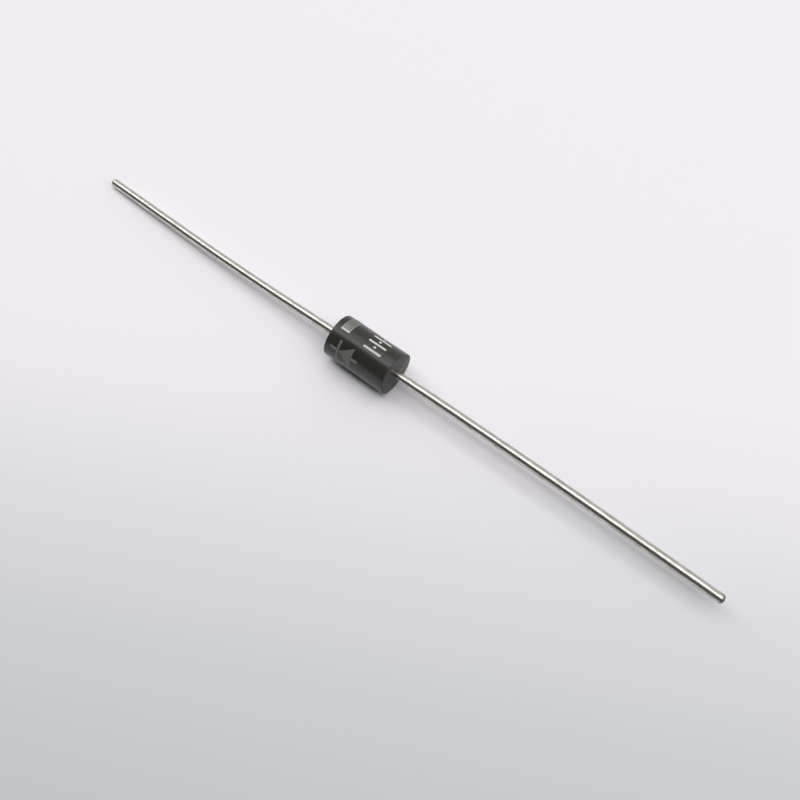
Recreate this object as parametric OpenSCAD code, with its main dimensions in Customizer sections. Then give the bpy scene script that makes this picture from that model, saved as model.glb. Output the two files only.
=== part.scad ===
// Axial-lead rectifier diode in a moulded body.
// The body's axis is X, with the banded cathode end at -X and the anode end at +X. The origin
// is the body's centre. The diode lies at rest: the side of its body and the tip of its
// cathode lead touch the plane z = -body_d / 2.
// Angles round the body are counted up from its front (-Y) over the top (+Z).

/* [Body] */
// Diameter of the moulded body
body_d = 3.55; // [3.2:0.05:3.8]
// Length of the moulded body
body_len = 5.9; // [5.4:0.1:7.6]
// Radius of the body's end edges
body_edge_r = 0.08; // [0.04:0.01:0.2]
// Draft of each half's end faces away from the parting plane, in degrees
end_draft = 4; // [1:0.5:7]
// Angle of the parting line at the back of the body; the other line is opposite it
parting_angle = 155; // [145:1:170]
// Height of the flash ridge along the parting line, less than the ink film's thickness
flash_h = 0.01; // [0.005:0.001:0.012]
// Width of the flash ridge
flash_w = 0.07; // [0.04:0.01:0.12]
// Length of the broken-off gate, along the body
gate_len = 0.9; // [0.4:0.1:1.5]
// Width of the broken-off gate, across the parting line
gate_w = 0.3; // [0.15:0.05:0.5]
// How far the broken-off gate stands out of the body
gate_h = 0.04; // [0.02:0.01:0.08]

/* [Cathode band] */
// Width of the printed band, along the body
band_w = 0.8; // [0.5:0.01:1.2]
// Distance from the cathode end of the body to the band
band_inset = 0.65; // [0.45:0.05:1]
// Thickness of the ink film
band_t = 0.02; // [0.016:0.002:0.04]
// Angle at which the band starts
band_start = 84; // [70:1:95]
// Angle that the band covers
band_sweep = 145; // [90:5:150]

/* [Leads] */
// Diameter of the wire
lead_d = 0.75; // [0.7:0.01:0.86]
// Length of each lead outside the body, measured along the wire
lead_len = 27.5; // [25.4:0.1:31]
// Length of the straight run at the free end of each lead
lead_end_len = 10; // [6:0.5:12]
// Radius of the rounded edge at the cropped tip
lead_tip_r = 0.18; // [0.05:0.01:0.3]
// Length of straight wire between the body and the exit bend
exit_len = 0.25; // [0.2:0.05:0.5]
// Radius of the slight exit bend
exit_bend_r = 8; // [3:0.5:15]
// Radius that the wire loses where it is bent
bend_thinning = 0.004; // [0.002:0.001:0.006]
// Length of straight wire between the cathode lead's exit bend and its bow
cathode_bow_start = 4; // [2:0.5:6]
// Radius of the cathode lead's backward bow
cathode_bow_r = 345; // [250:1:600]
// Slope at which the anode lead rises from the body
anode_rise = 2.6; // [0.5:0.1:3]
// Direction of that rise round the wire, from the back (+Y) over the top (+Z)
anode_rise_roll = 96; // [80:1:110]
// Length of straight wire between the anode lead's exit bend and its arch
anode_bow_start = 0.5; // [0.3:0.1:2]
// Radius of the anode lead's arch
anode_bow_r = 218; // [200:1:600]
// Direction of the arch's bending round the wire, from the back (+Y) over the top (+Z)
anode_bow_roll = -87; // [-95:1:-70]

/* [Nail heads] */
// Diameter of the flat head on each lead's inner end
head_d = 2.2; // [2.15:0.05:2.4]
// Thickness of the head
head_t = 0.4; // [0.3:0.05:0.5]
// Diameter of the conical neck where it leaves the head
neck_d = 1.3; // [1:0.05:1.6]
// Length of the conical neck
neck_len = 0.35; // [0.2:0.05:0.5]
// Distance from the body's end in to the anchor collar
collar_depth = 0.65; // [0.5:0.05:0.8]
// Diameter of the anchor collar, which keeps the lead from turning or pulling out
collar_d = 1.15; // [1:0.05:1.4]
// Length of the anchor collar's rim
collar_rim = 0.1; // [0.05:0.01:0.2]
// Length of the cone on each side of the rim
collar_cone = 0.15; // [0.1:0.01:0.25]

/* [Die] */
// Side of the square silicon die
die_side = 1.45; // [1.4:0.01:1.5]
// Thickness of the die, with its mesa
die_t = 0.26; // [0.2:0.01:0.35]
// Side of the mesa
mesa_side = 1.15; // [1.05:0.01:1.25]
// Height of the mesa above the floor of the moat round it
mesa_h = 0.1; // [0.06:0.01:0.14]
// Radius of the mesa's corners
mesa_corner_r = 0.2; // [0.1:0.02:0.3]
// Step from the mesa's top down to the passivation glass
glass_step = 0.02; // [0.01:0.005:0.04]

/* [Solder and coating] */
// Thickness of each solder joint
solder_t = 0.06; // [0.04:0.01:0.1]
// How far the solder flares from the die out to the nail head, all round
solder_flare = 0.04; // [0.01:0.01:0.06]
// Diameter of the cathode solder where it meets the die
cathode_solder_d = 1.38; // [1.1:0.02:1.4]
// Diameter of the anode solder where it meets the mesa
anode_solder_d = 1; // [0.8:0.02:1.04]
// How far the silicone bead's feet stay inside the nail heads' rims
coating_inset = 0.04; // [0.02:0.01:0.06]
// How far the bead swells beyond its feet
coating_swell = 0.14; // [0.1:0.01:0.16]

/* [Hidden] */
$fn = 64;
// Steps in a full turn of a bend, so that a bow of a few degrees is still smooth
BEND_FN = 1440;
// How far the thinner wire of a bend reaches into the straight wire on each side of it
BEND_SEAT = 0.08;

body_r = body_d / 2;
lead_r = lead_d / 2;
// Distance from the origin to either lead's exit bend
exit_x = body_len / 2 + exit_len;
// Distance from the origin to the face of either nail head
head_face = die_t / 2 + solder_t;
// Where the moat's floor lies along X
moat_floor = die_t / 2 - mesa_h;
// Distance from the origin to the inner end of either anchor collar
collar_start = body_len / 2 - collar_depth - collar_rim - 2 * collar_cone;

// Wire from the exit bend to the tip's rounded edge, and the drop that it has to make
droop_run = lead_len - exit_len - lead_tip_r;
droop_drop = body_r - lead_r;
// Slope that lowers the cathode lead's tip to the plane under the body
droop = (droop_run - sqrt(pow(droop_run, 2) - 2 * exit_bend_r * droop_drop)) / exit_bend_r
    * 180 / PI;

// Angle of the bow that takes up the wire between an exit bend and the straight end
function bow_angle(exit_angle, bow_start, bow_r) =
    (lead_len - exit_len - arc_len(exit_bend_r, exit_angle) - bow_start - lead_end_len)
    / bow_r * 180 / PI;

function arc_len(r, angle) = r * angle * PI / 180;

// Each bend of a lead is [radius, angle, direction round the wire, straight run after it]
cathode_bends = [
    [exit_bend_r, droop, -90, cathode_bow_start],
    [cathode_bow_r, bow_angle(droop, cathode_bow_start, cathode_bow_r), 0, lead_end_len],
];
anode_bends = [
    [exit_bend_r, anode_rise, anode_rise_roll, anode_bow_start],
    [anode_bow_r, bow_angle(anode_rise, anode_bow_start, anode_bow_r), anode_bow_roll, lead_end_len],
];

// Turns what points to the front by an angle round the body
module round_from_front(angle)
    rotate([-angle, 0, 0])
        children();

// Revolves a section round the X axis: its x is the radius and its y the place along X
module turned(angle = 360)
    rotate([0, 90, 0])
        rotate_extrude(angle = angle)
            children();

// Extrudes an outline along X from a starting place
module plate(start, thickness)
    translate([start, 0, 0])
        rotate([0, 90, 0])
            linear_extrude(thickness)
                children();

// Half section of a rod from y = 0, with its far edge rounded
module rod_section(r, length, edge_r) {
    square([r, length - edge_r]);
    square([r - edge_r, length]);
    translate([r - edge_r, length - edge_r])
        circle(edge_r);
}

// Body with rounded edges and drafted ends, grown all over by a margin
module body_blank(margin = 0) {
    r = body_r + margin;
    half_len = body_len / 2 + margin;
    // The cutting outline reaches past the round side, so only its ends cut
    reach = 2 * r;
    shortened = half_len - reach * tan(end_draft);
    intersection() {
        turned() {
            rod_section(r, half_len, body_edge_r);
            mirror([0, 1])
                rod_section(r, half_len, body_edge_r);
        }
        round_from_front(parting_angle)
            rotate([90, 0, 0])
                linear_extrude(2 * reach, center = true)
                    polygon([
                        [half_len, 0], [shortened, reach], [-shortened, reach],
                        [-half_len, 0], [-shortened, -reach], [shortened, -reach],
                    ]);
    }
}

// Thin ridge that the two mould halves leave where they meet
module flash_ridge()
    intersection() {
        body_blank(flash_h);
        round_from_front(parting_angle)
            cube([2 * body_len, 2 * body_d, flash_w], center = true);
    }

// Stub of the gate, on the parting line at the lower front
module gate_stub()
    round_from_front(parting_angle + 180)
        translate([-gate_len / 2, -body_r - gate_h, -gate_w / 2])
            cube([gate_len, body_r, gate_w]);

// Wire up to the exit bend, on the anode side: nail head, neck, shank and anchor collar
module lead_core()
    turned()
        polygon([
            [0, head_face],
            [head_d / 2, head_face],
            [head_d / 2, head_face + head_t],
            [neck_d / 2, head_face + head_t],
            [lead_r, head_face + head_t + neck_len],
            [lead_r, collar_start],
            [collar_d / 2, collar_start + collar_cone],
            [collar_d / 2, collar_start + collar_cone + collar_rim],
            [lead_r, collar_start + 2 * collar_cone + collar_rim],
            [lead_r, exit_x],
            [0, exit_x],
        ]);

// Bent wire that leaves the origin along +X and turns towards +Y
module wire_bend(r, angle) {
    seat_angle = BEND_SEAT / r * 180 / PI;
    translate([0, r, 0])
        rotate([0, 0, -90 - seat_angle])
            rotate_extrude(angle = angle + 2 * seat_angle, $fn = BEND_FN)
                translate([r, 0])
                    circle(lead_r - bend_thinning, $fn = 64);
}

// Wire along +X from the origin, through each bend in turn and out to the lead's tip
module wire(bends, i = 0) {
    r = bends[i][0];
    angle = bends[i][1];
    roll = bends[i][2];
    run = bends[i][3];
    rotate([roll, 0, 0]) {
        wire_bend(r, angle);
        translate([0, r, 0])
            rotate([0, 0, angle])
                translate([0, -r, 0])
                    rotate([-roll, 0, 0])
                        if (i < len(bends) - 1) {
                            plate(0, run)
                                circle(lead_r);
                            translate([run, 0, 0])
                                wire(bends, i + 1);
                        } else {
                            turned()
                                rod_section(lead_r, run, lead_tip_r);
                        }
    }
}

// One whole lead on the anode side, from its nail head to its tip
module lead(bends) {
    lead_core();
    translate([exit_x, 0, 0])
        wire(bends);
}

module mesa_outline() {
    straight = mesa_side - 2 * mesa_corner_r;
    square([straight, mesa_side], center = true);
    square([mesa_side, straight], center = true);
    for (x = [-1, 1], y = [-1, 1])
        translate([x, y] * straight / 2)
            circle(mesa_corner_r);
}

// Solder between a nail head and the die, on the anode side, from the die out to the head
module solder_joint(d)
    translate([die_t / 2, 0, 0])
        rotate([0, 90, 0])
            cylinder(h = solder_t, d1 = d, d2 = d + 2 * solder_flare);

// Silicone bead's outer shape, from one nail head's face to the other's
module coating_blank() {
    foot_r = head_d / 2 - coating_inset;
    swell_r = (pow(coating_swell, 2) + pow(head_face, 2)) / (2 * coating_swell);
    turned()
        intersection() {
            translate([0, -head_face])
                square([head_d, 2 * head_face]);
            union() {
                translate([0, -head_face])
                    square([foot_r, 2 * head_face]);
                translate([foot_r + coating_swell - swell_r, 0])
                    circle(swell_r);
            }
        }
}

module moulded_body()
    color("#2e2e2f")
        difference() {
            union() {
                body_blank();
                flash_ridge();
                gate_stub();
            }
            lead_core();
            mirror([1, 0, 0])
                lead_core();
            coating_blank();
        }

module cathode_band()
    color("#8b8d8c")
        difference() {
            round_from_front(band_start)
                rotate([-90 - band_sweep, 0, 0])
                    turned(band_sweep)
                        translate([body_r, band_inset - body_len / 2])
                            square([band_t, band_w]);
            flash_ridge();
        }

module cathode_lead()
    color("#c9c7c1")
        mirror([1, 0, 0])
            lead(cathode_bends);

module anode_lead()
    color("#c9c7c1")
        lead(anode_bends);

module silicon_die()
    color("#5c6066") {
        plate(-die_t / 2, die_t - mesa_h)
            square(die_side, center = true);
        plate(moat_floor, mesa_h)
            mesa_outline();
    }

module passivation_glass()
    color("#9fb7ad")
        plate(moat_floor, mesa_h - glass_step)
            difference() {
                square(die_side, center = true);
                mesa_outline();
            }

module cathode_solder()
    color("#a9abad")
        mirror([1, 0, 0])
            solder_joint(cathode_solder_d);

module anode_solder()
    color("#a9abad")
        solder_joint(anode_solder_d);

module junction_coating()
    color("#e4e0d6")
        difference() {
            coating_blank();
            silicon_die();
            passivation_glass();
            cathode_solder();
            anode_solder();
        }

moulded_body();
cathode_band();
cathode_lead();
anode_lead();
silicon_die();
passivation_glass();
cathode_solder();
anode_solder();
junction_coating();
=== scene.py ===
"""Looks of an axial-lead rectifier diode: moulded body, tinned leads, printed band and marks.

The body's axis is X, with the banded cathode end at -X. Angles round the body are counted up
from its front (-Y) over the top (+Z). Lengths are in metres, written as millimetres times MM.
"""
import math

import bmesh
import bpy
from mathutils import Matrix, Vector, noise


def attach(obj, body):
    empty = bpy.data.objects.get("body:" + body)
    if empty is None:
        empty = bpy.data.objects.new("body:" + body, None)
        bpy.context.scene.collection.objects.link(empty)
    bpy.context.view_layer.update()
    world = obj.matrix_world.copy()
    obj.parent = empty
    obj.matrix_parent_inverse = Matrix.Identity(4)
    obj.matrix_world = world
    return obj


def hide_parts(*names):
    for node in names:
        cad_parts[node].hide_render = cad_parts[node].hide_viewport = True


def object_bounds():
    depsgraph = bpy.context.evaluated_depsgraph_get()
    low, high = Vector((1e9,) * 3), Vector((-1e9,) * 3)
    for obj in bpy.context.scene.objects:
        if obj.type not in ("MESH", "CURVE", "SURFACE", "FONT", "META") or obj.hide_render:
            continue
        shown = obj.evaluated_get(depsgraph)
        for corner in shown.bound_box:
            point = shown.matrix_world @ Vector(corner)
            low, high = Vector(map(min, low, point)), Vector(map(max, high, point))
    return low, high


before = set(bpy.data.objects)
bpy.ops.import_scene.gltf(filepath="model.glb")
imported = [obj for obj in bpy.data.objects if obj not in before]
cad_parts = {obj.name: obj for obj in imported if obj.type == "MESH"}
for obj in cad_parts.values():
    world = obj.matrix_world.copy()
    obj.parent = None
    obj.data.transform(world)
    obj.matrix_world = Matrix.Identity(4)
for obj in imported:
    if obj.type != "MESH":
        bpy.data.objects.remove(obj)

CAD_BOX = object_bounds()
MM = 0.001

# Moulded body
BODY_R = 1.775 * MM
BODY_HALF = 2.95 * MM
BODY_EDGE_R = 0.08 * MM
END_DRAFT = math.radians(4)
PARTING = math.radians(155)
FLASH_H = 0.01 * MM
FLASH_W = 0.07 * MM
GATE_LEN = 0.9 * MM
GATE_W = 0.3 * MM
GATE_H = 0.04 * MM
# Over what length the flash's height and the torn gate's height change
FLASH_RAG = 0.25 * MM
GATE_TEAR = 0.08 * MM
# How far one mould half sat off the other, and how far a moulded step takes to rise
MISMATCH = 0.008 * MM
STEP_EASE = 0.006 * MM
# Height and size of the skin's faint unevenness
SKIN_DEPTH = 0.003 * MM
SKIN_SIZE = 0.8 * MM
# Height and width of the resin that crept up each wire
NIB_H = 0.03 * MM
NIB_W = 0.12 * MM
# The body's mesh: its columns, how clear they stay of those at the parting line, and its rings
BODY_COLUMNS = 132
COLUMN_GAP = math.radians(1)
END_RINGS = 12
EDGE_RINGS = 8
SIDE_RINGS = 56
# Edges that turn by more than this stay sharp
SHARP = math.radians(40)

# Wire of the leads
WIRE_R = 0.375 * MM
LEAD_LEN = 27.5 * MM
LEAD_END = 10 * MM
EXIT_LEN = 0.25 * MM
EXIT_X = BODY_HALF + EXIT_LEN
EXIT_BEND_R = 8 * MM
# Straight run from the exit bend to the bow, and the bow's radius
CATHODE_RUN = 4 * MM
CATHODE_BOW_R = 345 * MM
ANODE_RUN = 0.5 * MM
ANODE_BOW_R = 218 * MM
# Angle of the anode lead's exit bend, and each bend's direction round the wire
ANODE_RISE = math.radians(2.6)
CATHODE_EXIT_ROLL = math.radians(-90)
CATHODE_BOW_ROLL = 0.0
ANODE_EXIT_ROLL = math.radians(96)
ANODE_BOW_ROLL = math.radians(-87)
# The solid's tip radius; the cutter's blades round a tip further, and leave a low dome
TIP_R = 0.18 * MM
TIP_ROUND = 0.27 * MM
TIP_DOME = 0.04 * MM
# Share of the dome's radius that its last ring keeps, so that it doesn't close in a point
TIP_LEAST = 0.02
# The wire's mesh: its rings' spacing, its sides, a tip's rings, and the fewest rings that a bend
# and a straight run have
WIRE_STEP = 0.2 * MM
WIRE_SIDES = 48
TIP_STEPS = 16
BEND_STEPS = 6
RUN_STEPS = 2
# Depth and length of the wire's own unevenness
WIRE_WAVER = 0.006 * MM
WIRE_WAVER_LEN = 0.9 * MM
# How far the wire bites into the resin round it
WIRE_BITE = 0.008 * MM

# Nail head, neck and anchor collar of each lead
HEAD_R = 1.1 * MM
HEAD_T = 0.4 * MM
HEAD_FACE = 0.19 * MM
NECK_R = 0.65 * MM
NECK_LEN = 0.35 * MM
COLLAR_R = 0.575 * MM
COLLAR_CONE = 0.15 * MM
COLLAR_RIM = 0.1 * MM
# How far inside the body's end the collar ends
COLLAR_DEPTH = 0.65 * MM
COLLAR_START = BODY_HALF - COLLAR_DEPTH - COLLAR_RIM - 2 * COLLAR_CONE
CORNER = 0.02 * MM

# Silicone bead between the nail heads
BEAD_INSET = 0.04 * MM
BEAD_FOOT_R = HEAD_R - BEAD_INSET
BEAD_SWELL = 0.14 * MM
BEAD_STEPS = 8

# Printed band and marks
BAND_W = 0.8 * MM
BAND_INSET = 0.65 * MM
BAND_X = BAND_INSET - BODY_HALF
BAND_T = 0.02 * MM
BAND_START = math.radians(84)
BAND_SWEEP = math.radians(145)
INK_T = 0.014 * MM
INK_SINK = 0.01 * MM
INK_STEP = 0.06 * MM
# The film's rim: its width along the sides and at the ends, how full the sides are beside a
# full end, and what share of that they lose over what length from the end
RIM_W = 0.09 * MM
END_RIM_W = 0.2 * MM
SIDE_RIM = 0.55
SIDE_RIM_LOSS = 0.6
SIDE_RIM_LEN = 1.2 * MM
# How much fuller the film is near its ends, and for how long
THICK_START = 0.15
THICK_LEN = 0.85 * MM
# Share of its full thickness that the film has inside its rim
INNER_SHARE = 0.7
# How far outside the film's edge its rounding would start, and how far inside it is done
EDGE_FOOT = 0.02 * MM
EDGE_TOP = 0.012 * MM
# How far the film's edge wanders, and over what length
INK_RAGGED = 0.01 * MM
INK_RAG_SIZE = 0.1 * MM
# Columns of the band's film and of the symbol's, and spacing of the printing raster's lines
BAND_COLUMNS = 28
SYMBOL_COLUMNS = 12
RASTER_PITCH = 0.18 * MM
# Lot mark: its middle along the body, stroke width, angle from bar to bar, and bite in the resin
LOT_X = 0.85 * MM
LOT_STROKE = 0.18 * MM
LOT_STEP = math.radians(22)
LOT_BITE = 0.004 * MM

# Studio round the part, in metres
LAMP_HEIGHT = 0.5
STUDIO_LEN = 3.0
FLOOR_LEN = 5.0
BACKDROP = "#eeecf1"


def linear(hex_colour):
    """sRGB hex, such as "#2e2e2f", as a linear colour with alpha."""
    parts = [int(hex_colour[i:i + 2], 16) / 255 for i in (1, 3, 5)]
    return tuple(c / 12.92 if c <= 0.04045 else ((c + 0.055) / 1.055) ** 2.4 for c in parts) + (1,)


def add(tree, kind, inputs=None, **settings):
    """Adds a node: settings are its own, inputs are socket values or the sockets that feed them."""
    made = tree.nodes.new(kind)
    for name, value in settings.items():
        setattr(made, name, value)
    for name, value in (inputs or {}).items():
        if isinstance(value, bpy.types.NodeSocket):
            tree.links.new(value, made.inputs[name])
        else:
            made.inputs[name].default_value = value
    return made


def ease(value, low, high):
    """0 below low, 1 above high, and a smooth step between."""
    t = min(max((value - low) / (high - low), 0), 1)
    return t * t * (3 - 2 * t)


def round_body(x, r, angle):
    """The point at x and radius r, at an angle round the body."""
    return Vector((x, -r * math.cos(angle), r * math.sin(angle)))


def placed(name, data):
    """A new object at the origin, in the scene."""
    made = bpy.data.objects.new(name, data)
    bpy.context.scene.collection.objects.link(made)
    return made


def mark_points(mesh, label, values):
    """Gives each point of a mesh its value of a float attribute."""
    layer = mesh.attributes.new(label, "FLOAT", "POINT")
    layer.data.foreach_set("value", values)


# ---------------- materials

def bare_material(name):
    """A material with an empty node tree."""
    material = bpy.data.materials.new(name)
    material.use_nodes = True
    material.node_tree.nodes.clear()
    return material, material.node_tree


def surface(name, shader):
    """A material whose Principled shader has the given socket values."""
    material, tree = bare_material(name)
    bsdf = add(tree, "ShaderNodeBsdfPrincipled", shader)
    add(tree, "ShaderNodeOutputMaterial", {"Surface": bsdf.outputs["BSDF"]})
    return material, tree, bsdf


def moulded_epoxy():
    """Epoxy moulding compound, transfer-moulded in a spark-eroded cavity.

    Near-black and satin, with a fine even grain and faint silica specks; paler where the
    flash and the gate broke, and duller there and on the cavity's coarser ends.
    """
    material, tree, bsdf = surface("moulded_epoxy", {"IOR": 1.5})
    place = add(tree, "ShaderNodeTexCoord").outputs["Object"]
    # Spark-eroded grain of about 0.05 mm, and soft shade differences about 1.5 mm across
    grain = add(tree, "ShaderNodeTexNoise",
                {"Vector": place, "Scale": 1 / (0.05 * MM), "Detail": 3, "Roughness": 0.6})
    cloud = add(tree, "ShaderNodeTexNoise",
                {"Vector": place, "Scale": 1 / (1.5 * MM), "Detail": 2, "Roughness": 0.5})
    # Silica filler is 0.02 to 0.05 mm; drawn 0.09 mm apart so that it still shows
    filler = add(tree, "ShaderNodeTexVoronoi", {"Vector": place, "Scale": 1 / (0.09 * MM)})
    speck = add(tree, "ShaderNodeMapRange",
                {"Value": filler.outputs["Distance"], "From Min": 0.05, "From Max": 0.2,
                 "To Min": 1, "To Max": 0})
    tone = add(tree, "ShaderNodeValToRGB", {"Fac": cloud.outputs["Fac"]})
    tone.color_ramp.elements[0].position = 0.15
    tone.color_ramp.elements[0].color = linear("#282723")
    tone.color_ramp.elements[1].position = 0.85
    tone.color_ramp.elements[1].color = linear("#31302c")
    speckled = add(tree, "ShaderNodeMix",
                   {"Factor": speck.outputs["Result"], 6: tone.outputs["Color"],
                    7: linear("#3e3d39")}, data_type="RGBA")
    broken = add(tree, "ShaderNodeAttribute", attribute_name="broken").outputs["Fac"]
    skin = add(tree, "ShaderNodeMix",
               {"Factor": broken, 6: speckled.outputs[2], 7: linear("#5a5955")},
               data_type="RGBA")
    tree.links.new(skin.outputs[2], bsdf.inputs["Base Color"])
    gloss = add(tree, "ShaderNodeMapRange",
                {"Value": cloud.outputs["Fac"], "From Min": 0.15, "From Max": 0.85,
                 "To Min": 0.22, "To Max": 0.3})
    coarse = add(tree, "ShaderNodeAttribute", attribute_name="coarse").outputs["Fac"]
    dull = add(tree, "ShaderNodeMath",
               {0: coarse, 1: 0.2, 2: gloss.outputs["Result"]}, operation="MULTIPLY_ADD")
    tree.links.new(dull.outputs[0], bsdf.inputs["Roughness"])
    bump = add(tree, "ShaderNodeBump",
               {"Height": grain.outputs["Fac"], "Distance": 0.003 * MM, "Strength": 0.35})
    tree.links.new(bump.outputs["Normal"], bsdf.inputs["Normal"])
    return material


def tinned_wire():
    """Copper wire, cold-drawn and electroplated with tin.

    A soft bright grey metal: fine lines along the wire from the die, faint patches where the
    plating is thicker, and duller cut ends.
    """
    material, tree, bsdf = surface("tinned_copper_wire", {"Metallic": 1})
    place = add(tree, "ShaderNodeAttribute", attribute_name="wire_place").outputs["Vector"]
    # Drawing lines are about 0.02 mm wide and 3 mm long; drawn 0.05 mm wide so that they show
    lines_at = add(tree, "ShaderNodeMapping",
                   {"Vector": place, "Scale": (1 / (3 * MM), 1 / (0.05 * MM), 1 / (0.05 * MM))})
    lines = add(tree, "ShaderNodeTexNoise",
                {"Vector": lines_at.outputs["Vector"], "Scale": 1, "Detail": 3,
                 "Roughness": 0.6})
    # Patches of thicker plating are about 0.6 mm long and 0.25 mm wide
    patch_at = add(tree, "ShaderNodeMapping",
                   {"Vector": place, "Scale": (1 / (0.6 * MM), 1 / (0.25 * MM), 1 / (0.25 * MM))})
    patch = add(tree, "ShaderNodeTexNoise",
                {"Vector": patch_at.outputs["Vector"], "Scale": 1, "Detail": 4,
                 "Roughness": 0.65})
    tone = add(tree, "ShaderNodeValToRGB", {"Fac": patch.outputs["Fac"]})
    tone.color_ramp.elements[0].position = 0.35
    tone.color_ramp.elements[0].color = linear("#b3b0a7")
    tone.color_ramp.elements[1].position = 0.62
    tone.color_ramp.elements[1].color = linear("#d9d7d1")
    cut = add(tree, "ShaderNodeAttribute", attribute_name="cut").outputs["Fac"]
    ended = add(tree, "ShaderNodeMix",
                {"Factor": cut, 6: tone.outputs["Color"], 7: linear("#544e46")},
                data_type="RGBA")
    tree.links.new(ended.outputs[2], bsdf.inputs["Base Color"])
    gloss = add(tree, "ShaderNodeMapRange",
                {"Value": patch.outputs["Fac"], "From Min": 0.35, "From Max": 0.65,
                 "To Min": 0.32, "To Max": 0.18})
    dull = add(tree, "ShaderNodeMath",
               {0: cut, 1: 0.2, 2: gloss.outputs["Result"]}, operation="MULTIPLY_ADD")
    tree.links.new(dull.outputs[0], bsdf.inputs["Roughness"])
    height = add(tree, "ShaderNodeMath",
                 {0: patch.outputs["Fac"], 1: 2.0, 2: lines.outputs["Fac"]},
                 operation="MULTIPLY_ADD")
    bump = add(tree, "ShaderNodeBump",
               {"Height": height.outputs[0], "Distance": 0.004 * MM, "Strength": 0.6})
    tree.links.new(bump.outputs["Normal"], bsdf.inputs["Normal"])
    return material


def printed_ink(name, solid, thin):
    """Epoxy ink, printed in fine raster lines and cured.

    A thin matt film: its solid colour at the rim, and nearer its thin one inside, where faint
    raster lines and worn grain about 0.12 mm across show.
    """
    material, tree, bsdf = surface(name, {"IOR": 1.5})
    place = add(tree, "ShaderNodeTexCoord").outputs["Object"]
    # Raster lines run round the body, 0.18 mm apart; a wave of scale 1 repeats every pi / 10
    raster_at = add(tree, "ShaderNodeMapping", {"Vector": place, "Scale": (1 / MM,) * 3})
    raster = add(tree, "ShaderNodeTexWave",
                 {"Vector": raster_at.outputs["Vector"],
                  "Scale": math.pi / 10 / (RASTER_PITCH / MM),
                  "Distortion": 0.6, "Detail": 2, "Detail Scale": 4}, bands_direction="X")
    grain = add(tree, "ShaderNodeTexNoise",
                {"Vector": place, "Scale": 1 / (0.12 * MM), "Detail": 3, "Roughness": 0.6})
    rim = add(tree, "ShaderNodeAttribute", attribute_name="rim").outputs["Fac"]
    cover = add(tree, "ShaderNodeMath", {0: raster.outputs["Fac"], 1: 0.18},
                operation="MULTIPLY")
    worn = add(tree, "ShaderNodeMath",
               {0: grain.outputs["Fac"], 1: 0.09, 2: cover.outputs[0]}, operation="MULTIPLY_ADD")
    full = add(tree, "ShaderNodeMix", {"Factor": rim, 2: worn.outputs[0], 3: 1.0})
    tone = add(tree, "ShaderNodeMix",
               {"Factor": full.outputs[0], 6: linear(thin), 7: linear(solid)},
               data_type="RGBA")
    tree.links.new(tone.outputs[2], bsdf.inputs["Base Color"])
    gloss = add(tree, "ShaderNodeMapRange",
                {"Value": grain.outputs["Fac"], "To Min": 0.45, "To Max": 0.65})
    tree.links.new(gloss.outputs["Result"], bsdf.inputs["Roughness"])
    bump = add(tree, "ShaderNodeBump",
               {"Height": full.outputs[0], "Distance": 0.004 * MM, "Strength": 0.5})
    tree.links.new(bump.outputs["Normal"], bsdf.inputs["Normal"])
    return material


def lapped_silicon():
    """Silicon wafer, lapped, etched and sawn into dies.

    Dark blue-grey with a metal's lustre, and finely pitted by the lapping grit.
    """
    material, tree, bsdf = surface("lapped_silicon", {"Metallic": 0.6})
    place = add(tree, "ShaderNodeTexCoord").outputs["Object"]
    # Lapping pits are about 0.02 mm across
    pits = add(tree, "ShaderNodeTexNoise",
               {"Vector": place, "Scale": 1 / (0.02 * MM), "Detail": 4, "Roughness": 0.7})
    tone = add(tree, "ShaderNodeValToRGB", {"Fac": pits.outputs["Fac"]})
    tone.color_ramp.elements[0].color = linear("#4b5058")
    tone.color_ramp.elements[1].color = linear("#6d737b")
    tree.links.new(tone.outputs["Color"], bsdf.inputs["Base Color"])
    gloss = add(tree, "ShaderNodeMapRange",
                {"Value": pits.outputs["Fac"], "To Min": 0.25, "To Max": 0.45})
    tree.links.new(gloss.outputs["Result"], bsdf.inputs["Roughness"])
    bump = add(tree, "ShaderNodeBump",
               {"Height": pits.outputs["Fac"], "Distance": 0.002 * MM, "Strength": 0.6})
    tree.links.new(bump.outputs["Normal"], bsdf.inputs["Normal"])
    return material


def fired_glass():
    """Zinc borosilicate passivation glass, fired from powder in the die's moat.

    Milky pale green and glossy, with tiny bubbles left in it.
    """
    material, tree, bsdf = surface("fired_passivation_glass", {"IOR": 1.6, "Coat Weight": 0.5})
    place = add(tree, "ShaderNodeTexCoord").outputs["Object"]
    # Bubbles are about 0.03 mm across, and 0.06 mm apart
    bubbles = add(tree, "ShaderNodeTexVoronoi", {"Vector": place, "Scale": 1 / (0.06 * MM)})
    tone = add(tree, "ShaderNodeValToRGB", {"Fac": bubbles.outputs["Distance"]})
    tone.color_ramp.elements[0].position = 0.15
    tone.color_ramp.elements[0].color = linear("#c4d4cb")
    tone.color_ramp.elements[1].position = 0.45
    tone.color_ramp.elements[1].color = linear("#9ab4aa")
    tree.links.new(tone.outputs["Color"], bsdf.inputs["Base Color"])
    gloss = add(tree, "ShaderNodeMapRange",
                {"Value": bubbles.outputs["Distance"], "To Min": 0.25, "To Max": 0.12})
    tree.links.new(gloss.outputs["Result"], bsdf.inputs["Roughness"])
    return material


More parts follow.
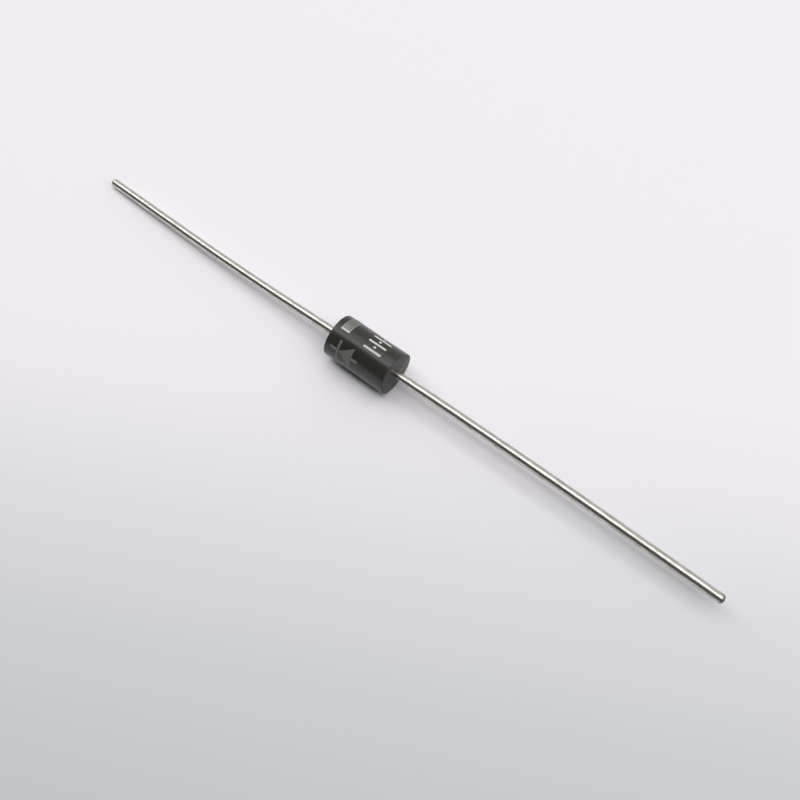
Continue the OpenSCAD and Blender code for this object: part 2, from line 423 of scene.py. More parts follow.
def reflowed_solder():
    """High-lead solder, melted between die and nail head in a belt furnace.

    Soft dull grey metal with coarse grains that froze slowly.
    """
    material, tree, bsdf = surface("reflowed_high_lead_solder", {"Metallic": 1})
    place = add(tree, "ShaderNodeTexCoord").outputs["Object"]
    # Frozen grains are about 0.12 mm across
    grains = add(tree, "ShaderNodeTexVoronoi", {"Vector": place, "Scale": 1 / (0.12 * MM)})
    shade = add(tree, "ShaderNodeSeparateColor", {"Color": grains.outputs["Color"]})
    tone = add(tree, "ShaderNodeValToRGB", {"Fac": shade.outputs["Red"]})
    tone.color_ramp.elements[0].color = linear("#8f9194")
    tone.color_ramp.elements[1].color = linear("#b4b6b8")
    tree.links.new(tone.outputs["Color"], bsdf.inputs["Base Color"])
    gloss = add(tree, "ShaderNodeMapRange",
                {"Value": shade.outputs["Green"], "To Min": 0.35, "To Max": 0.55})
    tree.links.new(gloss.outputs["Result"], bsdf.inputs["Roughness"])
    bump = add(tree, "ShaderNodeBump",
               {"Height": grains.outputs["Distance"], "Distance": 0.003 * MM, "Strength": 0.5})
    tree.links.new(bump.outputs["Normal"], bsdf.inputs["Normal"])
    return material


def cured_silicone():
    """Silicone junction coating, dispensed as a bead and cured.

    Milky white rubber that lets a little light in, with a soft gloss.
    """
    material, tree, bsdf = surface(
        "cured_junction_silicone",
        {"IOR": 1.41, "Subsurface Weight": 0.3, "Subsurface Scale": 0.3 * MM})
    place = add(tree, "ShaderNodeTexCoord").outputs["Object"]
    # Fumed silica clouds it in patches of about 0.2 mm
    cloud = add(tree, "ShaderNodeTexNoise",
                {"Vector": place, "Scale": 1 / (0.2 * MM), "Detail": 3, "Roughness": 0.5})
    tone = add(tree, "ShaderNodeValToRGB", {"Fac": cloud.outputs["Fac"]})
    tone.color_ramp.elements[0].color = linear("#d8d3c6")
    tone.color_ramp.elements[1].color = linear("#eeebe3")
    tree.links.new(tone.outputs["Color"], bsdf.inputs["Base Color"])
    gloss = add(tree, "ShaderNodeMapRange",
                {"Value": cloud.outputs["Fac"], "To Min": 0.3, "To Max": 0.42})
    tree.links.new(gloss.outputs["Result"], bsdf.inputs["Roughness"])
    return material


def matt_card():
    """Smooth card under the part: pale, cool white and matt, with painted shadow in front of it.

    Far from the part it fades into the pale backdrop, for the eye and for reflections alike.
    """
    material, tree, bsdf = surface("matt_card", {"IOR": 1.45, "Roughness": 0.8})
    place = add(tree, "ShaderNodeTexCoord").outputs["Object"]
    # Where the painted shadow is deepest and the card palest, from the part's middle this way
    paler_way = (-0.483, 0.875, 0)
    deepest, palest = -36 * MM, 4 * MM
    # How far from the part's middle it starts to fade, and is all backdrop
    fade_start, fade_end = 45 * MM, 150 * MM
    across = add(tree, "ShaderNodeVectorMath", {0: place, 1: paler_way},
                 operation="DOT_PRODUCT")
    painted_shadow_ramp = add(tree, "ShaderNodeMapRange",
                {"Value": across.outputs["Value"], "From Min": deepest, "From Max": palest},
                interpolation_type="SMOOTHSTEP")
    # Painted shadow: the card's colour darkens from pale to grey towards the front of the part
    tone = add(tree, "ShaderNodeValToRGB", {"Fac": painted_shadow_ramp.outputs["Result"]})
    tone.color_ramp.elements[0].color = linear("#c3c6c9")
    tone.color_ramp.elements[1].color = linear("#f0edf2")
    tree.links.new(tone.outputs["Color"], bsdf.inputs["Base Color"])
    span = add(tree, "ShaderNodeVectorMath", {0: place}, operation="LENGTH")
    far = add(tree, "ShaderNodeMapRange",
              {"Value": span.outputs["Value"], "From Min": fade_start, "From Max": fade_end},
              interpolation_type="SMOOTHSTEP")
    ray = add(tree, "ShaderNodeLightPath").outputs
    mirrored = add(tree, "ShaderNodeMath",
                   {0: ray["Is Glossy Ray"], 1: ray["Is Transmission Ray"]},
                   operation="MAXIMUM")
    seen = add(tree, "ShaderNodeMath",
               {0: ray["Is Camera Ray"], 1: mirrored.outputs[0]}, operation="MAXIMUM")
    share = add(tree, "ShaderNodeMath", {0: far.outputs["Result"], 1: seen.outputs[0]},
                operation="MULTIPLY")
    backdrop = add(tree, "ShaderNodeEmission", {"Color": linear(BACKDROP), "Strength": 1.0})
    faded = add(tree, "ShaderNodeMixShader",
                {0: share.outputs[0], 1: bsdf.outputs["BSDF"], 2: backdrop.outputs["Emission"]})
    tree.links.new(faded.outputs["Shader"], tree.nodes["Material Output"].inputs["Surface"])
    return material


def glowing_cloth(name, level):
    """Even cloth of the studio's tent that glows at a low level."""
    material, tree = bare_material(name)
    glow = add(tree, "ShaderNodeEmission", {"Color": linear("#fbfaf8"), "Strength": level})
    add(tree, "ShaderNodeOutputMaterial", {"Surface": glow.outputs["Emission"]})
    return material


# ---------------- meshes

def closed_grid(name, rings, floats):
    """A mesh of rings joined in a loop, each ring closed on itself, and its float attributes."""
    count = len(rings[0])
    total = len(rings)
    points = [point for ring in rings for point in ring]
    faces = []
    for i in range(total):
        here, there = i * count, (i + 1) % total * count
        for j in range(count):
            k = (j + 1) % count
            faces.append((here + j, here + k, there + k, there + j))
    return finished_mesh(name, points, faces, floats)


def finished_mesh(name, points, faces, floats):
    """Mesh with outward faces, smooth but for its sharp edges, and float attributes by name."""
    mesh = bpy.data.meshes.new(name)
    mesh.from_pydata([tuple(p) for p in points], [], faces)
    for label, values in floats.items():
        mark_points(mesh, label, values)
    shell = bmesh.new()
    shell.from_mesh(mesh)
    bmesh.ops.recalc_face_normals(shell, faces=shell.faces)
    shell.to_mesh(mesh)
    shell.free()
    mesh.shade_smooth()
    mesh.set_sharp_from_angle(angle=SHARP)
    return mesh


def piece(name, mesh, material, slot, *stands_for):
    """A finished piece of the part: it rides on the one body and stands for its CAD nodes."""
    made = placed(name, mesh)
    made.data.materials.clear()
    made.data.materials.append(material)
    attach(made, "root")
    if stands_for:
        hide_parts(*stands_for)


def round_angles():
    """Angles of the body's columns: even, and closer where the flash and the gate step up."""
    close = {0.0}
    for edge in (FLASH_W / 2, GATE_W / 2):
        close.update(side * (edge + nudge) / BODY_R
                     for side in (-1, 1) for nudge in (-STEP_EASE, 0, STEP_EASE))
    reach = max(close) + COLUMN_GAP
    seams = (PARTING, PARTING + math.pi)
    even = [math.radians(360 * i / BODY_COLUMNS) for i in range(BODY_COLUMNS)]
    clear = [a for a in even
             if all(abs(math.remainder(a - seam, math.tau)) > reach for seam in seams)]
    return sorted(clear + [seam + offset for seam in seams for offset in close])


def resin_seam(x, r, angle):
    """How much the flash and the gate stand out at a place on the body, as shares of their height.

    Both are ragged: the flash by half its height either way, and the gate by less than that.
    """
    off = abs(r * math.sin(angle - PARTING))
    ragged = 0.75 + 0.5 * noise.noise(Vector((x / FLASH_RAG, angle, 0)))
    flash = ragged * (1 - ease(off, FLASH_W / 2 - STEP_EASE, FLASH_W / 2 + STEP_EASE))
    below = math.cos(angle - PARTING) < 0
    across = 1 - ease(off, GATE_W / 2 - STEP_EASE, GATE_W / 2 + STEP_EASE)
    along = 1 - ease(abs(x), GATE_LEN / 2 - STEP_EASE, GATE_LEN / 2 + STEP_EASE)
    torn = 0.8 + 0.4 * noise.noise(Vector((x, off, angle * BODY_R)) / GATE_TEAR)
    return flash, torn * across * along if below else 0


def body_surface(x, r, angle, out_x, out_r):
    """A point of the resin's outside, and how much of it is broken resin.

    It stands out by the flash, the gate and the skin, and one mould half sits off the other.
    """
    flash, gate = resin_seam(x, r, angle)
    lift = max(FLASH_H * flash, GATE_H * gate)
    lift += SKIN_DEPTH * noise.noise(round_body(x, r, angle) / SKIN_SIZE)
    place = round_body(x + lift * out_x, r + lift * out_r, angle)
    other_half = ease(r * math.sin(angle - PARTING), -STEP_EASE, STEP_EASE)
    return place + MISMATCH * other_half * round_body(0, 1, PARTING), max(flash, min(gate, 1))


def end_drop(r, angle):
    """How far the drafted end face lies inside the body's full length."""
    return abs(r * math.sin(angle - PARTING)) * math.tan(END_DRAFT)


def outside_rings():
    """Section of the resin's outside from the anode lead's hole to the cathode lead's.

    Each row is a function of the angle that gives x, radius and the way out of the surface.
    """
    hole = WIRE_R - WIRE_BITE
    flat = BODY_R - BODY_EDGE_R
    rows = []
    for i in range(END_RINGS):
        r = hole + (flat - hole) * (i / END_RINGS) ** 1.5
        nib = NIB_H * (1 - ease(r, hole, hole + NIB_W))
        rows.append(lambda a, r=r, nib=nib: (BODY_HALF - end_drop(r, a) + nib, r, 1, 0))
    for i in range(EDGE_RINGS + 1):
        turn = math.radians(90 * i / EDGE_RINGS)
        r = flat + BODY_EDGE_R * math.sin(turn)
        back = BODY_EDGE_R * (1 - math.cos(turn))
        rows.append(lambda a, r=r, back=back, turn=turn:
                    (BODY_HALF - end_drop(r, a) - back, r, math.cos(turn), math.sin(turn)))
    end_rows = rows[:]
    half = BODY_HALF - BODY_EDGE_R
    spans = {side * (GATE_LEN / 2 + nudge) / half
             for side in (-1, 1) for nudge in (-STEP_EASE, 0, STEP_EASE)}
    spans.update(1 - 2 * i / SIDE_RINGS for i in range(1, SIDE_RINGS))
    for k in sorted(spans, reverse=True):
        rows.append(lambda a, k=k: (k * (half - end_drop(BODY_R, a)), BODY_R, 0, 1))
    mirrored = [lambda a, row=row: (lambda x, r, u, v: (-x, r, -u, v))(*row(a))
                for row in reversed(end_rows)]
    return rows + mirrored


def bead_radius(x):
    """Radius of the bead's barrel, which swells between its feet on the nail heads."""
    swell_r = (BEAD_SWELL ** 2 + HEAD_FACE ** 2) / (2 * BEAD_SWELL)
    return BEAD_FOOT_R + BEAD_SWELL - swell_r + math.sqrt(swell_r ** 2 - x * x)


def core_section():
    """(x, radius) of the headed wire on the anode side, from the nail head's face outwards."""
    neck_x = HEAD_FACE + HEAD_T
    collar_end = COLLAR_START + 2 * COLLAR_CONE + COLLAR_RIM
    return [(HEAD_FACE, HEAD_R - CORNER), (HEAD_FACE + CORNER, HEAD_R),
            (neck_x - CORNER, HEAD_R), (neck_x, HEAD_R - CORNER), (neck_x + CORNER / 10, NECK_R),
            (neck_x + NECK_LEN, WIRE_R), (COLLAR_START, WIRE_R),
            (COLLAR_START + COLLAR_CONE, COLLAR_R),
            (COLLAR_START + COLLAR_CONE + COLLAR_RIM, COLLAR_R), (collar_end, WIRE_R)]


def cavity_section():
    """(x, radius) of the room that the resin leaves for the leads and the bead, from -X to +X."""
    places = [HEAD_FACE * (2 * i / BEAD_STEPS - 1) for i in range(BEAD_STEPS + 1)]
    bead = [(x, bead_radius(x)) for x in places]
    right = core_section()
    left = [(-x, r) for x, r in reversed(right)]
    return left + bead + right


def body_mesh():
    """The resin, as one closed mesh: its outside, then back through the cavity."""
    angles = round_angles()
    rings, broken, coarse = [], [], []
    for row in outside_rings():
        ring = []
        for angle in angles:
            x, r, out_x, out_r = row(angle)
            place, torn = body_surface(x, r, angle, out_x, out_r)
            ring.append(place)
            broken.append(torn)
            coarse.append(max(torn, abs(out_x)))
        rings.append(ring)
    for x, r in cavity_section():
        rings.append([round_body(x, r, angle) for angle in angles])
        broken += [0.0] * len(angles)
        coarse += [1.0] * len(angles)
    return closed_grid("moulded_body_mesh", rings, {"broken": broken, "coarse": coarse})


def bow_angle(exit_angle, start, radius):
    """Angle of a bow that takes up the lead's length between its start and its straight end."""
    return (LEAD_LEN - EXIT_LEN - EXIT_BEND_R * exit_angle - start - LEAD_END) / radius


def cathode_bends():
    """Each bend is radius, angle, direction round the wire and the straight run after it.

    The exit bend's angle is what sets the tip down on the surface that the body lies on.
    """
    run = LEAD_LEN - EXIT_LEN - TIP_R
    drop = BODY_R - WIRE_R
    droop = (run - math.sqrt(run ** 2 - 2 * EXIT_BEND_R * drop)) / EXIT_BEND_R
    bow = bow_angle(droop, CATHODE_RUN, CATHODE_BOW_R)
    return [(EXIT_BEND_R, droop, CATHODE_EXIT_ROLL, CATHODE_RUN),
            (CATHODE_BOW_R, bow, CATHODE_BOW_ROLL, LEAD_END)]


def anode_bends():
    """The anode lead's bends, in the same terms as the cathode lead's."""
    bow = bow_angle(ANODE_RISE, ANODE_RUN, ANODE_BOW_R)
    return [(EXIT_BEND_R, ANODE_RISE, ANODE_EXIT_ROLL, ANODE_RUN),
            (ANODE_BOW_R, bow, ANODE_BOW_ROLL, LEAD_END)]


def wire_path(bends, side):
    """Centre line outside the core as (point, distance from the core), on the side's X."""
    place = Matrix.Translation((EXIT_X, 0, 0))
    made, gone = [(place.to_translation(), 0.0)], 0.0
    for radius, angle, roll, run in bends:
        turned = place @ Matrix.Rotation(roll, 4, "X")
        steps = max(BEND_STEPS, round(radius * angle / WIRE_STEP))
        for i in range(1, steps + 1):
            part = angle * i / steps
            local = Vector((radius * math.sin(part), radius * (1 - math.cos(part)), 0))
            made.append((turned @ local, gone + radius * part))
        gone += radius * angle
        bend_end = (Matrix.Translation((0, radius, 0)) @ Matrix.Rotation(angle, 4, "Z")
                    @ Matrix.Translation((0, -radius, 0)))
        place = turned @ bend_end @ Matrix.Rotation(-roll, 4, "X")
        steps = max(RUN_STEPS, round(run / WIRE_STEP))
        made += [(place @ Vector((run * i / steps, 0, 0)), gone + run * i / steps)
                 for i in range(1, steps + 1)]
        gone += run
        place = place @ Matrix.Translation((run, 0, 0))
    return [(Vector((side * p.x, p.y, p.z)), d) for p, d in made]


def tip_radius(left):
    """Radius of the wire at a distance from its cropped tip: a rounded edge, then a low dome."""
    flat = WIRE_R - TIP_ROUND
    if left < TIP_DOME:
        return flat * max(math.sqrt(left / TIP_DOME), TIP_LEAST)
    t = min((left - TIP_DOME) / TIP_ROUND, 1)
    return flat + TIP_ROUND * math.sqrt(1 - (1 - t) ** 2)


def lead_spine(name, bends, side):
    """Host for the sweep: the whole lead's centre line, and three floats at each point.

    along is the distance from the core's end, reach the wire's radius, and cut 1 at the tip.
    """
    points = [(Vector((side * x, 0, 0)), x - EXIT_X, r) for x, r in core_section()]
    path = wire_path(bends, side)
    total = path[-1][1]
    body = [(p, d, WIRE_R) for p, d in path if total - d > TIP_ROUND + TIP_DOME]
    heading = (path[-1][0] - path[-2][0]).normalized()
    tip = []
    for i in range(TIP_STEPS + 1):
        left = (TIP_ROUND + TIP_DOME) * (1 - i / TIP_STEPS) ** 1.5
        tip.append((path[-1][0] - heading * left, total - left, tip_radius(left)))
    points += body + tip
    mesh = bpy.data.meshes.new(name + "_spine")
    mesh.from_pydata([tuple(p) for p, _, _ in points],
                     [(i, i + 1) for i in range(len(points) - 1)], [])
    mark_points(mesh, "along", [d for _, d, _ in points])
    mark_points(mesh, "reach", [r for _, _, r in points])
    mark_points(mesh, "cut", [1 - ease(total - d, TIP_R / 2, 2 * TIP_R) for _, d, _ in points])
    return mesh


def group_tree(name, inputs):
    """A geometry node tree with named inputs, and the sockets that give them inside it."""
    tree = bpy.data.node_groups.new(name, "GeometryNodeTree")
    tree.interface.new_socket("Geometry", in_out="INPUT", socket_type="NodeSocketGeometry")
    for label, kind in inputs.items():
        tree.interface.new_socket(label, in_out="INPUT", socket_type=kind)
    tree.interface.new_socket("Geometry", in_out="OUTPUT", socket_type="NodeSocketGeometry")
    return tree, add(tree, "NodeGroupInput").outputs


def close_tree(tree, geometry, finish):
    """Ends a tree in real geometry that carries its material."""
    real = add(tree, "GeometryNodeRealizeInstances", {"Geometry": geometry})
    dressed = add(tree, "GeometryNodeSetMaterial",
                  {"Geometry": real.outputs["Geometry"], "Material": finish})
    add(tree, "NodeGroupOutput", {"Geometry": dressed.outputs["Geometry"]})


def wire_sweep_tree():
    """Sweeps a round wire along a spine whose points carry their radius and their distance."""
    tree, given = group_tree("drawn_wire_sweep", {
        "Sides": "NodeSocketInt", "Waver": "NodeSocketFloat", "Waver length": "NodeSocketFloat",
        "Wire radius": "NodeSocketFloat", "Seed": "NodeSocketFloat",
        "Finish": "NodeSocketMaterial"})
    spine = add(tree, "GeometryNodeMeshToCurve", {"Mesh": given["Geometry"]})
    reach = add(tree, "GeometryNodeInputNamedAttribute", {"Name": "reach"}, data_type="FLOAT")
    circle = add(tree, "GeometryNodeCurvePrimitiveCircle",
                 {"Resolution": given["Sides"], "Radius": 1.0})
    here = add(tree, "GeometryNodeInputPosition").outputs["Position"]
    section = add(tree, "GeometryNodeCaptureAttribute", {"Geometry": circle.outputs["Curve"]})
    section.capture_items.new("VECTOR", "Side")
    tree.links.new(here, section.inputs["Side"])
    tube = add(tree, "GeometryNodeCurveToMesh",
               {"Curve": spine.outputs["Curve"], "Profile Curve": section.outputs["Geometry"],
                "Scale": reach.outputs["Attribute"], "Fill Caps": True})
    side = add(tree, "ShaderNodeVectorMath",
               {0: section.outputs["Side"], "Scale": given["Wire radius"]}, operation="SCALE")
    parts = add(tree, "ShaderNodeSeparateXYZ", {"Vector": side.outputs["Vector"]})
    along = add(tree, "GeometryNodeInputNamedAttribute", {"Name": "along"}, data_type="FLOAT")
    place = add(tree, "ShaderNodeCombineXYZ",
                {"X": along.outputs["Attribute"], "Y": parts.outputs["X"],
                 "Z": parts.outputs["Y"]})
    kept = add(tree, "GeometryNodeStoreNamedAttribute",
               {"Geometry": tube.outputs["Mesh"], "Name": "wire_place",
                "Value": place.outputs["Vector"]}, data_type="FLOAT_VECTOR", domain="POINT")
    sparse = add(tree, "ShaderNodeMath", {0: 1.0, 1: given["Waver length"]}, operation="DIVIDE")
    waver = add(tree, "ShaderNodeTexNoise",
                {"Vector": place.outputs["Vector"], "W": given["Seed"],
                 "Scale": sparse.outputs[0], "Detail": 2}, noise_dimensions="4D")
    centred = add(tree, "ShaderNodeMath", {0: waver.outputs["Fac"], 1: 0.5},
                  operation="SUBTRACT")
    depth = add(tree, "ShaderNodeMath", {0: centred.outputs[0], 1: given["Waver"]},
                operation="MULTIPLY")
    outward = add(tree, "GeometryNodeInputNormal").outputs["Normal"]
    shift = add(tree, "ShaderNodeVectorMath", {0: outward, "Scale": depth.outputs[0]},
                operation="SCALE")
    moved = add(tree, "GeometryNodeSetPosition",
                {"Geometry": kept.outputs["Geometry"], "Offset": shift.outputs["Vector"]})
    close_tree(tree, moved.outputs["Geometry"], given["Finish"])
    return tree


def printed_row_tree():
    """Repeats one rounded stroke of ink round the body at even angles."""
    tree, given = group_tree("printed_row", {
        "Count": "NodeSocketInt", "First angle": "NodeSocketFloat", "Step": "NodeSocketFloat",
        "Radius": "NodeSocketFloat", "Place": "NodeSocketFloat", "Length": "NodeSocketFloat",
        "Width": "NodeSocketFloat", "Thickness": "NodeSocketFloat",
        "Finish": "NodeSocketMaterial"})
    outline = add(tree, "GeometryNodeCurvePrimitiveQuadrilateral",
                  {"Width": given["Length"], "Height": given["Width"]})
    # Just under half the width, so that the rounded corners never meet
    half = add(tree, "ShaderNodeMath", {0: given["Width"], 1: 0.49}, operation="MULTIPLY")
    rounded = add(tree, "GeometryNodeFilletCurve",
                  {"Curve": outline.outputs["Curve"], "Count": 6, "Radius": half.outputs[0]},
                  mode="POLY")
    flat = add(tree, "GeometryNodeFillCurve", {"Curve": rounded.outputs["Curve"]}, mode="NGONS")
    thick = add(tree, "GeometryNodeExtrudeMesh",
                {"Mesh": flat.outputs["Mesh"], "Offset Scale": given["Thickness"]}, mode="FACES")
    under = add(tree, "GeometryNodeFlipFaces", {"Mesh": flat.outputs["Mesh"]})
    both = add(tree, "GeometryNodeJoinGeometry")
    tree.links.new(under.outputs["Mesh"], both.inputs["Geometry"])
    tree.links.new(thick.outputs["Mesh"], both.inputs["Geometry"])
    stroke = add(tree, "GeometryNodeMergeByDistance",
                 {"Geometry": both.outputs["Geometry"], "Distance": 0.0001 * MM})
    number = add(tree, "GeometryNodeInputIndex").outputs["Index"]
    angle = add(tree, "ShaderNodeMath",
                {0: number, 1: given["Step"], 2: given["First angle"]},
                operation="MULTIPLY_ADD").outputs[0]
    sine = add(tree, "ShaderNodeMath", {0: angle}, operation="SINE")
    cosine = add(tree, "ShaderNodeMath", {0: angle}, operation="COSINE")
    up = add(tree, "ShaderNodeMath", {0: sine.outputs[0], 1: given["Radius"]},
             operation="MULTIPLY")
    front = add(tree, "ShaderNodeMath", {0: cosine.outputs[0], 1: given["Radius"]},
                operation="MULTIPLY")
    back = add(tree, "ShaderNodeMath", {0: front.outputs[0], 1: -1.0}, operation="MULTIPLY")
    place = add(tree, "ShaderNodeCombineXYZ",
                {"X": given["Place"], "Y": back.outputs[0], "Z": up.outputs[0]})
    spots = add(tree, "GeometryNodePoints",
                {"Count": given["Count"], "Position": place.outputs["Vector"]})
    tilt = add(tree, "ShaderNodeMath", {0: math.pi / 2, 1: angle}, operation="SUBTRACT")
    turn = add(tree, "ShaderNodeCombineXYZ", {"X": tilt.outputs[0]})
    row = add(tree, "GeometryNodeInstanceOnPoints",
              {"Points": spots.outputs["Points"], "Instance": stroke.outputs["Geometry"],
               "Rotation": turn.outputs["Vector"]})
    close_tree(tree, row.outputs["Instances"], given["Finish"])
    return tree


def made_by(tree, mesh, values):
    """The plain mesh that a node tree makes from a host mesh and named input values."""
    host = placed(mesh.name, mesh)
    modifier = host.modifiers.new(tree.name, "NODES")
    modifier.node_group = tree
    for socket in tree.interface.items_tree:
        if socket.in_out == "INPUT" and socket.name in values:
            modifier[socket.identifier] = values[socket.name]
    graph = bpy.context.evaluated_depsgraph_get()
    made = bpy.data.meshes.new_from_object(
        host.evaluated_get(graph), preserve_all_data_layers=True, depsgraph=graph)
    host.modifiers.clear()
    bpy.data.objects.remove(host)
    made.shade_smooth()
    made.set_sharp_from_angle(angle=SHARP)
    return made


def lead_mesh(name, tree, bends, side, seed, finish):
    """A lead from its nail head to its tip, swept along its spine."""
    return made_by(tree, lead_spine(name, bends, side), {
        "Sides": WIRE_SIDES, "Waver": WIRE_WAVER, "Waver length": WIRE_WAVER_LEN,
        "Wire radius": WIRE_R, "Seed": seed, "Finish": finish})


def film(outline, columns, thickness):
    """Ink film that drapes over the body: outline is rows of (place round it, x from, x to).

    Returns its points, faces and rim, which is how full the ink is: 1 at the film's ends, less
    along its sides, a little for some way in from each end, and 0 inside.
    """
    top, under, rim = [], [], []
    first, last = outline[0][0], outline[-1][0]
    for arc, low, high in outline:
        angle = arc / BODY_R
        for i in range(columns + 1):
            # Columns crowd towards both edges, where the ink draws back and stands up
            share = 0.5 - 0.5 * math.cos(math.pi * i / columns)
            edge = low if share < 0.5 else high
            ragged = noise.noise(Vector((arc, edge, 0)) / INK_RAG_SIZE) * abs(2 * share - 1) ** 4
            x = low + (high - low) * share + INK_RAGGED * ragged
            side_gap = min(x - low, high - x)
            end_gap = min(arc - first, last - arc)
            side_rim = SIDE_RIM * (1 - SIDE_RIM_LOSS * ease(end_gap, 0, SIDE_RIM_LEN))
            near = max(1 - ease(end_gap, END_RIM_W / 2, END_RIM_W),
                       side_rim * (1 - ease(side_gap, 0, RIM_W)),
                       THICK_START * (1 - ease(end_gap, THICK_LEN / 2, THICK_LEN)))
            lift = (thickness * (INNER_SHARE + (1 - INNER_SHARE) * near)
                    * ease(min(side_gap, end_gap), -EDGE_FOOT, EDGE_TOP))
            skin, _ = body_surface(x, BODY_R, angle, 0, 1)
            top.append(skin + round_body(0, lift, angle))
            under.append(round_body(x, BODY_R - INK_SINK, angle))
            rim.append(near)
    points = top + under
    width, rows, shift = columns + 1, len(outline), len(top)
    faces = []
    for j in range(rows - 1):
        for i in range(columns):
            quad = (j * width + i, j * width + i + 1, (j + 1) * width + i + 1,
                    (j + 1) * width + i)
            faces += [quad, tuple(shift + v for v in reversed(quad))]
    border = (list(range(width))
              + [j * width + columns for j in range(1, rows)]
              + [(rows - 1) * width + i for i in range(columns - 1, -1, -1)]
              + [j * width for j in range(rows - 2, 0, -1)])
    for here, there in zip(border, border[1:] + border[:1]):
        faces.append((here, there, shift + there, shift + here))
    return points, faces, rim + rim


def film_mesh(name, films):
    """One mesh from several ink films."""
    points, faces, rim = [], [], []
    for some_points, some_faces, some_rim in films:
        start = len(points)
        points += some_points
        faces += [tuple(start + v for v in face) for face in some_faces]
        rim += some_rim
    return finished_mesh(name, points, faces, {"rim": rim})


def rows_between(start, end, low, high, steps=None):
    """Rows of a film from one place round the body to another; low and high may be functions.

    Its rows also fall on the body's own columns, so that it drapes over the flash.
    """
    count = steps or max(2, round(abs(end - start) / INK_STEP))
    even = [start + (end - start) * i / count for i in range(count + 1)]
    columns = [angle * BODY_R for angle in round_angles() if start < angle * BODY_R < end]
    arcs = columns + [arc for arc in even
                      if arc in (start, end) or min(abs(arc - c) for c in columns) > INK_STEP / 4]
    return [(arc, low(arc) if callable(low) else low, high(arc) if callable(high) else high)
            for arc in sorted(arcs)]


def band_mesh():
    """The cathode band, one film round part of the body."""
    start = BAND_START * BODY_R
    end = (BAND_START + BAND_SWEEP) * BODY_R
    rows = rows_between(start, end, BAND_X, BAND_X + BAND_W)
    return film_mesh("cathode_band_mesh", [film(rows, BAND_COLUMNS, BAND_T)])


def symbol_mesh():
    """Plain diode symbol: a triangle that points to the cathode, its bar and two short wires."""
    centre = math.radians(32) * BODY_R
    tall, stroke = 0.85 * MM, 0.22 * MM
    point_x, base_x = -1.5 * MM, -0.3 * MM
    run = 0.6 * MM
    # The triangle's slant ends a little past its corners, which so keep a width
    slant = 1.02 * tall
    triangle = rows_between(
        centre - tall, centre + tall,
        lambda arc: point_x + (base_x - point_x) * abs(arc - centre) / slant, base_x)
    bar = rows_between(centre - tall, centre + tall, point_x - stroke, point_x)
    wires = [rows_between(centre - stroke / 2, centre + stroke / 2, x, x + run, steps=4)
             for x in (point_x - stroke - run, base_x)]
    return film_mesh("polarity_symbol_mesh",
                     [film(rows, SYMBOL_COLUMNS, INK_T) for rows in (triangle, bar, *wires)])


# ---------------- the part

def make_part():
    """The diode's pieces, each in place of its CAD node, and the finishes of the nodes inside."""
    epoxy = moulded_epoxy()
    tin = tinned_wire()
    band_ink = printed_ink("raster_printed_band_ink", "#d2d4cd", "#42433f")
    mark_ink = printed_ink("printed_mark_ink", "#d6d7d1", "#c4c5bf")
    # The symbol's dim grey is painted shade: pale marking ink, darkened for the front away from the
    # lamps
    symbol_ink = printed_ink("painted_shade_symbol_ink", "#6b6b67", "#62625e")
    piece("body", body_mesh(), epoxy, "body_epoxy", "moulded_body")
    sweep = wire_sweep_tree()
    for name, bends, side, seed in (("cathode_wire", cathode_bends(), -1, 1.0),
                                    ("anode_wire", anode_bends(), 1, 2.0)):
        piece(name, lead_mesh(name, sweep, bends, side, seed, tin), tin, "lead_wire",
              name.replace("wire", "lead"))
    piece("band", band_mesh(), band_ink, "band_ink", "cathode_band")
    piece("polarity_symbol", symbol_mesh(), symbol_ink, "band_ink")
    row = printed_row_tree()
    # The dots lie half a step on, between the bars
    rows = {"lot_bars": {"Count": 4, "First angle": math.radians(80), "Length": 1.65 * MM},
            "lot_dots": {"Count": 3, "First angle": math.radians(91), "Length": 0.24 * MM}}
    for name, sizes in rows.items():
        host = bpy.data.meshes.new(name + "_host")
        mesh = made_by(row, host, {"Step": LOT_STEP, "Radius": BODY_R - LOT_BITE,
                                   "Place": LOT_X, "Width": LOT_STROKE, "Thickness": INK_T,
                                   "Finish": mark_ink, **sizes})
        piece(name, mesh, mark_ink, "band_ink")
    inner = {"silicon_die": lapped_silicon(), "passivation_glass": fired_glass(),
             "junction_coating": cured_silicone()}
    inner.update(dict.fromkeys(("cathode_solder", "anode_solder"), reflowed_solder()))
    for name, material in inner.items():
        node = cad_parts[name]
        node.data.materials.clear()
        node.data.materials.append(material)


# ---------------- the studio

def make_floor():
    """The card that the part lies on, at the height of its lowest point."""
    floor_z = CAD_BOX[0].z
    half = FLOOR_LEN / 2
    mesh = bpy.data.meshes.new("floor_mesh")
    corners = [(-half, -half, floor_z), (half, -half, floor_z), (half, half, floor_z),
               (-half, half, floor_z)]
    mesh.from_pydata(corners, [], [(0, 1, 2, 3)])
    mesh.materials.append(matt_card())
    floor = placed("floor", mesh)


def lamp_line(angle):
    """How far back a lamp's edge lies, seen from the part at an angle round it."""
    return -LAMP_HEIGHT / math.tan(math.radians(angle))


def make_lamp(name, front, back, radiance):
    """A long soft lamp overhead that runs along the part's axis, between two angles round it.

    The angles are counted as those round the body, from its front over the top.
    """
    near, far = lamp_line(front), lamp_line(back)
    light = bpy.data.lights.new(name, "AREA")
    light.shape = "RECTANGLE"
    light.size = STUDIO_LEN
    light.size_y = far - near
    light.energy = radiance * math.pi * light.size * light.size_y
    lamp = placed(name, light)
    lamp.location = (0, (near + far) / 2, LAMP_HEIGHT)
    lamp.visible_camera = False


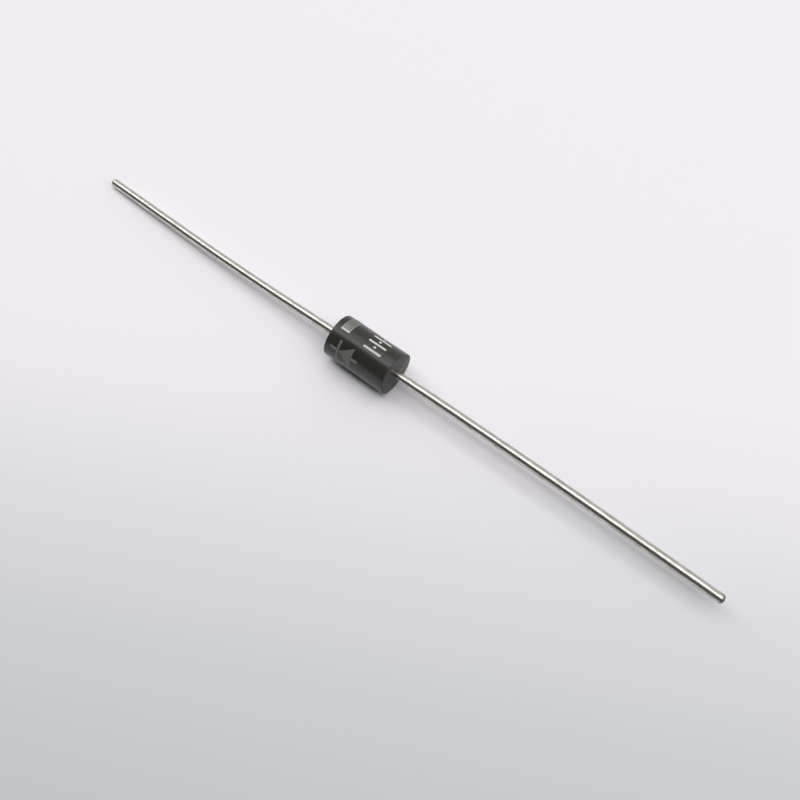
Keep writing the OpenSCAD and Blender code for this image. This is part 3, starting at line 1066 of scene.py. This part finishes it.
def make_tent_cloth(name, front, back, level):
    """One cloth of the tent round the part, from one (y, z) to another: it glows at a low level.

    The camera looks through it.
    """
    end = STUDIO_LEN / 2
    mesh = bpy.data.meshes.new(name + "_mesh")
    mesh.from_pydata([(-end, *front), (end, *front), (end, *back), (-end, *back)],
                     [], [(0, 1, 2, 3)])
    mesh.materials.append(glowing_cloth(name, level))
    cloth = placed(name, mesh)
    cloth.visible_camera = False


def make_studio():
    """Two lamps side by side in the ridge of a tent that is dark in front and grey behind."""
    front, middle, back = 74, 91, 121
    make_lamp("overhead_softbox", front, middle, 2.84)
    make_lamp("rear_softbox", middle, back, 1.58)
    # The tent's ridge, just above the lamps, and its feet on the floor in front and behind
    ridge_z = LAMP_HEIGHT + 1 * MM
    front_ridge, back_ridge = (lamp_line(front), ridge_z), (lamp_line(back), ridge_z)
    front_foot, back_foot = (-1.0, CAD_BOX[0].z), (1.3, CAD_BOX[0].z)
    make_tent_cloth("dark_front_cloth", front_foot, front_ridge, 0.1)
    make_tent_cloth("lamp_cover", front_ridge, back_ridge, 0.0)
    make_tent_cloth("grey_back_cloth", back_ridge, back_foot, 0.66)


def make_world():
    """The plain pale backdrop, at the brightness that its colour says."""
    world = bpy.data.worlds.new("pale_backdrop")
    bpy.context.scene.world = world
    world.use_nodes = True
    tree = world.node_tree
    tree.nodes.clear()
    pale = add(tree, "ShaderNodeBackground", {"Color": linear(BACKDROP), "Strength": 1.0})
    add(tree, "ShaderNodeOutputWorld", {"Surface": pale.outputs["Background"]})


def make_camera():
    """Camera above the front right of the part, looking down at it."""
    azimuth, elevation = math.radians(38.337), math.radians(61.502)
    distance = 58.91 * MM
    target = Vector((3.902 * MM, -0.791 * MM, -BODY_R))
    back = Vector((math.sin(azimuth) * math.cos(elevation),
                   -math.cos(azimuth) * math.cos(elevation), math.sin(elevation)))
    data = bpy.data.cameras.new("camera")
    data.sensor_width = 36
    data.lens = 34.25
    data.clip_start = 1 * MM
    data.clip_end = 5
    camera = placed("camera", data)
    camera.location = target + distance * back
    camera.rotation_mode = "QUATERNION"
    camera.rotation_quaternion = (-back).to_track_quat("-Z", "Y")
    bpy.context.scene.camera = camera


make_part()
make_floor()
make_studio()
make_world()
make_camera()
bpy.context.scene.view_settings.view_transform = "Standard"
